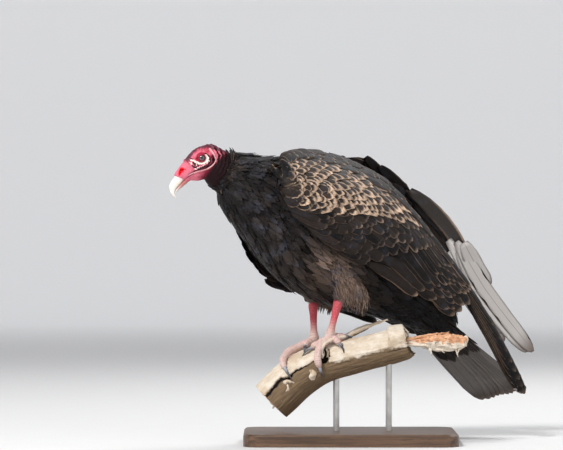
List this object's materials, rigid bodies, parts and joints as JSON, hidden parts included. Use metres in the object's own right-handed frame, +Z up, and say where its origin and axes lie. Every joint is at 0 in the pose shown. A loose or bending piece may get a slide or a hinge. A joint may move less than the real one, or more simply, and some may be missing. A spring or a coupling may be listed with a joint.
{
  "type": "turkey vulture model",
  "caption": "Life-size model of a hunched turkey vulture with drooping wings, gripping a cut length of branch held on rods over a flat base",
  "frame": {"origin": "centre of the underside of the stand's base", "axes": "+Z up; the branch runs along X with its saw cut at -X and its torn end at +X; the bird's breast faces -X and 30 degrees towards -Y"},
  "size_m": [0.5891, 0.4029, 0.4767],
  "materials": {
    "plumage": "black-brown feathers with a faint sheen",
    "flight_feathers": "dark brown vanes, the coverts edged with tan and the undersides silvery",
    "skin_red": "bare wrinkled red skin",
    "leg_skin": "scaly pink-red skin, whitened lower down",
    "horn": "smooth ivory horn",
    "claw": "dark grey horn",
    "eye": "wet, glossy and dark",
    "bark": "weathered pale wood, torn and orange-brown at one end",
    "stand_wood": "dark satin wood",
    "steel": "brushed"
  },
  "bodies": {
    "root": {"trunk": "plumage", "thigh_left": "plumage", "thigh_right": "plumage", "neck": "skin_red", "head": "skin_red", "eye_left": "eye", "eye_right": "eye", "bill_upper": "horn", "bill_lower": "horn", "tail": "flight_feathers", "wing_left_coverts": "flight_feathers", "wing_left_secondaries": "flight_feathers", "wing_left_primaries": "flight_feathers", "wing_right_coverts": "flight_feathers", "wing_right_secondaries": "flight_feathers", "wing_right_primaries": "flight_feathers", "leg_left": "leg_skin", "leg_right": "leg_skin", "claw_left_1": "claw", "claw_left_2": "claw", "claw_left_3": "claw", "claw_left_4": "claw", "claw_right_1": "claw", "claw_right_2": "claw", "claw_right_3": "claw", "claw_right_4": "claw", "perch_branch": "bark", "stand_base": "stand_wood", "stand_rod_1": "steel", "stand_rod_2": "steel"}
  },
  "joints": []
}
